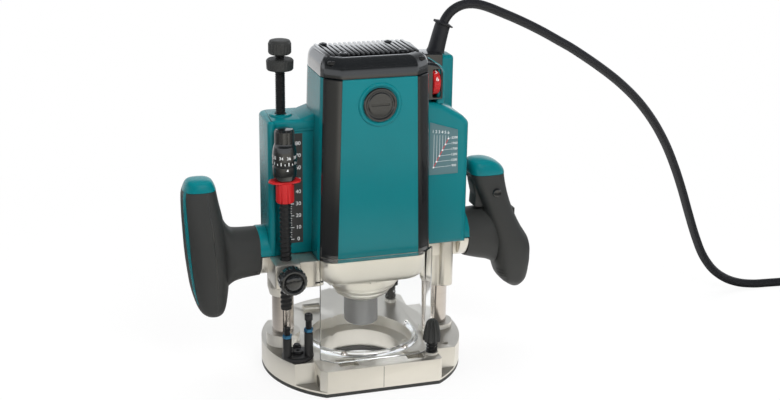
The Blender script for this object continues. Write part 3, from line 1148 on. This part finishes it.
scale = [on_plate(ticks[k % 5], SCALE_Y, -65.4, SCALE_LOW + 2*k) for k in range(43)]
scale += [on_plate(digits(str(10*k), 4.4), SCALE_Y, -57.6, SCALE_LOW + 10*k) for k in range(9)]
fit(make("scale_print", *scale), "motor_unit", "black_plastic", look="white_print")

# %% [markdown]
# Four screws hold the top cover. A turned head with a cross cut into it is enough at this size.

# %% Cover screws
head = lathe([(NIL, 246), (1.8, 246), (1.8, 266.6), (3.35, 266.6), (3.35, 268.2), (2.6, 268.9), (NIL, 269)],
             n=36, reach=0.3)
LONG, SHORT, DEEP = (-2.0, 2.0), (-0.4, 0.4), (267.6, 270)
screw = carved(head, box(LONG, SHORT, DEEP, 0.1, 0.1), box(SHORT, LONG, DEEP, 0.1, 0.1))
corners = [(x*side, y) for x, y in ((36, -40), (23.5, 41.5)) for side in (-1, 1)]
screws = make("cover_screws", *[roof_fall(moved(screw, (x, y, 0))) for x, y in corners])
fit(screws, "motor_unit", "black_steel", "top_cover_screws")

# %% [markdown]
# The studio is a pale floor and a white backdrop. The camera sees white, with a trace of shadow near the
# machine. Mirrors see more: a cool backdrop, a warm lit floor in front, and a dim room behind the
# photographer and to the sides. That dim part gives polished steel its dark bands and keeps black plastic
# black. Everything else is lit at a plain level by a dim sky and four soft lamps, which no camera or mirror
# sees.

# %% Studio
DIM, LIT = 0.06, 0.94  # a mirror's view of the darkest room, and what the brightest adds to it
SKY = 0.30
WHITE, COOL, WARM = (1, 1, 1, 1), (0.93, 0.96, 1, 1), (1, 0.955, 0.84, 1)


def rays(tree):
    """Light Path outputs of a tree: seen by the camera or through glass, and seen in a reflection."""
    path = tree.nodes.new("ShaderNodeLightPath").outputs
    eye, clear, mirror = (Wire(tree, path[n]) for n in ("Is Camera Ray", "Is Transmission Ray",
                                                        "Is Glossy Ray"))
    return eye.larger(clear), mirror


scene.view_settings.view_transform = "Standard"
scene.world = bpy.data.worlds.new("studio")
scene.world.use_nodes = True
sky = scene.world.node_tree
background = sky.nodes["Background"]
seen, mirrored = rays(sky)
heading = Wire(sky, sky.nodes.new("ShaderNodeTexCoord").outputs["Generated"])
backwards, upwards = heading.part(1), heading.part(2)
backdrop = backwards.ramp(0.75, 1.8)*upwards.ramp(1.95, -3.2)
reflected = DIM + LIT*upwards.ramp(1.3, -5.0).larger(backdrop)
mirrored.mix(WHITE, COOL).into(background, "Color")
(seen + (1 - seen)*(mirrored*reflected + (1 - mirrored)*SKY)).into(background, "Strength")

paper = bpy.data.materials.new("paper")
paper.use_nodes = True
tree = paper.node_tree
shader = tree.nodes["Principled BSDF"]
shader.inputs["Base Color"].default_value = (0.86, 0.86, 0.86, 1)
shader.inputs["Roughness"].default_value = 0.9
shader.inputs["Specular IOR Level"].default_value = 0.0
glow, blend = tree.nodes.new("ShaderNodeEmission"), tree.nodes.new("ShaderNodeMixShader")
seen, mirrored = rays(tree)
spot = Wire(tree, tree.nodes.new("ShaderNodeTexCoord").outputs["Object"])
away = spot.node("VectorMath", {"operation": "LENGTH"}, {0: spot}, out=1)
across, deep = spot.part(0), spot.part(1)
aside = spot.math("DIVIDE", spot.math("ABSOLUTE", across), away)
table = away.ramp(4.2, -11.0)*(0.25 + 0.75*across.ramp(0.95, 4.0))
beyond = away.ramp(-2.6, 5.0)*aside.ramp(1.9, -1.8)
(mirrored*deep.ramp(0.2, -3.0)).mix(WHITE, WARM).into(glow, "Color")
(seen + (1 - seen)*(DIM + LIT*table.larger(beyond))).into(glow, "Strength")
(seen*(0.84 + 0.16*away.ramp(-0.6, 2.5)) + (1 - seen)*mirrored).into(blend, 0)
tree.links.new(shader.outputs[0], blend.inputs[1])
tree.links.new(glow.outputs[0], blend.inputs[2])
tree.links.new(blend.outputs[0], tree.nodes["Material Output"].inputs[0])
REACH, BELOW = 4000, -0.2
sheet = raised(np.array(oblong((-REACH, REACH), (-REACH, REACH)), float), BELOW), [[0, 1, 2, 3]]
floor = make("floor", sheet)
floor.data.materials.append(paper)


def lamp(name, at, aim, size, power):
    """A square soft lamp that faces a point and shows in no picture or reflection."""
    light = bpy.data.lights.new(name, "AREA")
    light.size, light.energy = size, power
    piece = linked(name, light)
    facing = unit(np.array(at, float) - aim)
    flat = unit(np.cross([0, 0.02, 1.0], facing))
    place(piece, [flat, np.cross(facing, flat), facing], at)
    piece.visible_camera, piece.visible_glossy = False, False
    print("  ", name, power, "W")


lamp("left lamp", (-1.3, -0.6, 0.9), (0, 0, 0.12), 0.8, 5)
lamp("front lamp", (0.1, -0.62, 0.70), (0, -0.05, 0.2), 0.45, 5.1)
lamp("top lamp", (0.1, 0.5, 1.5), (0, 0, 0.1), 1.2, 19)
lamp("right lamp", (1.4, -0.7, 0.8), (0, 0, 0.12), 0.9, 3)

# %% [markdown]
# Last, the size of the dressed machine is written beside the CAD's, so that the two can be compared.

# %% Hand over
bpy.context.view_layer.update()
